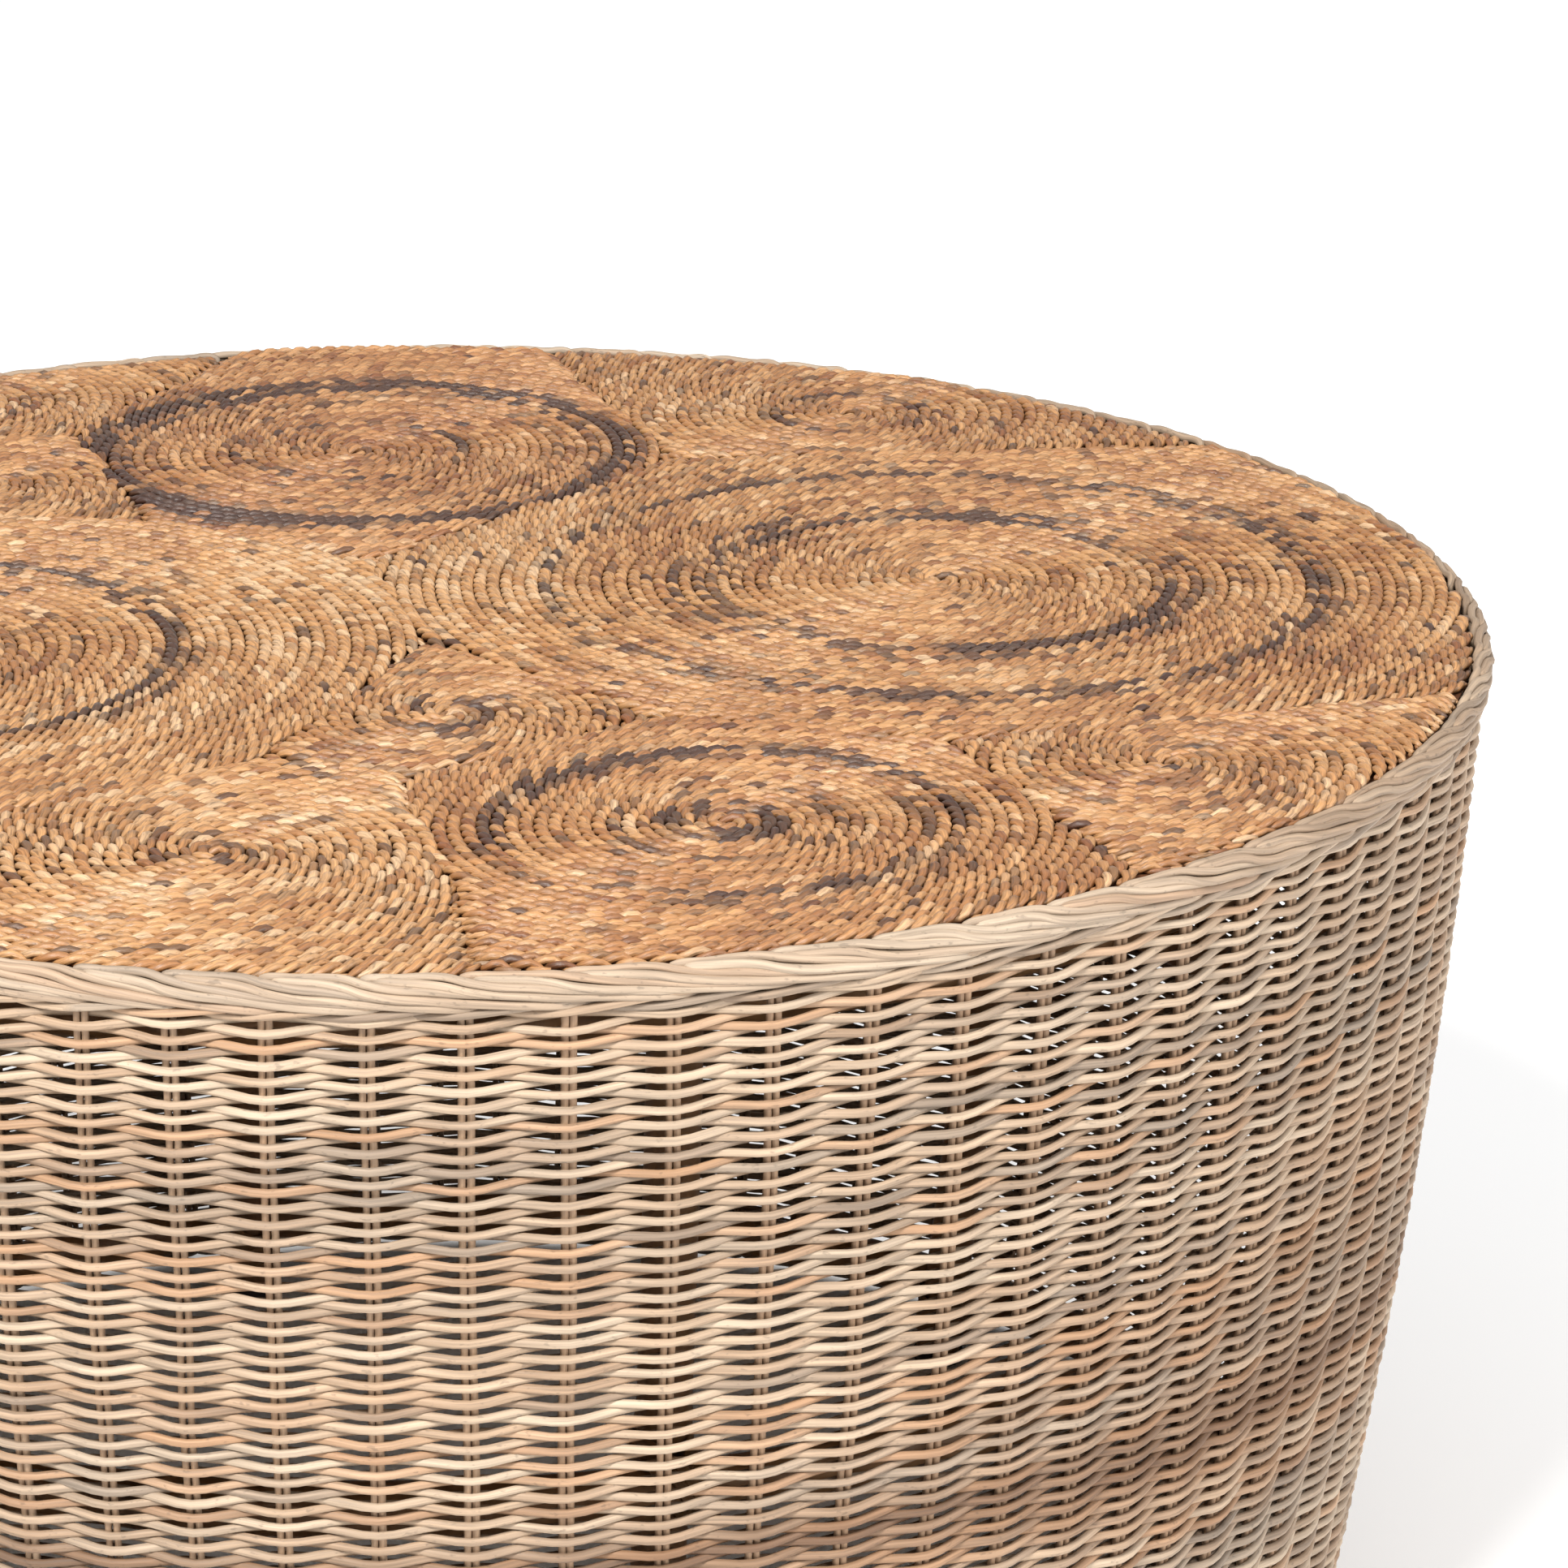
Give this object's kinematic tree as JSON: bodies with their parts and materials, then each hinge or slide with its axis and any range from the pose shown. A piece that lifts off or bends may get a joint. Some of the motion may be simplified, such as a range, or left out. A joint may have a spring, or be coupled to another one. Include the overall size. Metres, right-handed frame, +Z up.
{
  "type": "wicker coffee table",
  "caption": "Round drum-shaped coffee table: a tapered wall of twined rattan on an inner pole frame, with a top of coiled twisted-rope medallions inside a rolled border.",
  "frame": {"origin": "on the floor at the middle of the table", "axes": "+Z up; the front faces -Y and +X is to the right seen from the front"},
  "size_m": [0.8956, 0.8956, 0.45],
  "materials": {
    "rattan": "natural round rattan core, dry and matt, light beige to grey",
    "stake": "natural round rattan sticks, matt",
    "rope": "two-ply twisted plant-fibre rope, golden tan with dark brown stretches, satin sheen",
    "plywood": "raw plywood",
    "pole": "brown skinned rattan pole, satin",
    "peel": "flat rattan peel, satin",
    "glide": "dark moulded plastic"
  },
  "bodies": {
    "root": {"binding_bottom_1": "peel", "binding_bottom_2": "peel", "binding_bottom_3": "peel", "binding_bottom_4": "peel", "binding_bottom_5": "peel", "binding_bottom_6": "peel", "binding_middle_1": "peel", "binding_middle_2": "peel", "binding_middle_3": "peel", "binding_middle_4": "peel", "binding_middle_5": "peel", "binding_middle_6": "peel", "bottom_border": "rattan", "bottom_wale": "rattan", "frame_hoop_bottom": "pole", "frame_hoop_middle": "pole", "frame_hoop_top": "pole", "glide_1": "glide", "glide_2": "glide", "glide_3": "glide", "glide_4": "glide", "glide_5": "glide", "glide_6": "glide", "joist_centre": "pole", "joist_front": "pole", "joist_rear": "pole", "post_1": "pole", "post_2": "pole", "post_3": "pole", "post_4": "pole", "post_5": "pole", "post_6": "pole", "rope_medallion_01": "rope", "rope_medallion_02": "rope", "rope_medallion_03": "rope", "rope_medallion_04": "rope", "rope_medallion_05": "rope", "rope_medallion_06": "rope", "rope_medallion_07": "rope", "rope_medallion_08": "rope", "rope_medallion_09": "rope", "rope_medallion_10": "rope", "rope_medallion_11": "rope", "rope_medallion_12": "rope", "stake_cage": "stake", "top_board": "plywood", "top_border": "rattan", "top_wale": "rattan", "weavers_inner": "rattan", "weavers_outer": "rattan"}
  },
  "joints": []
}
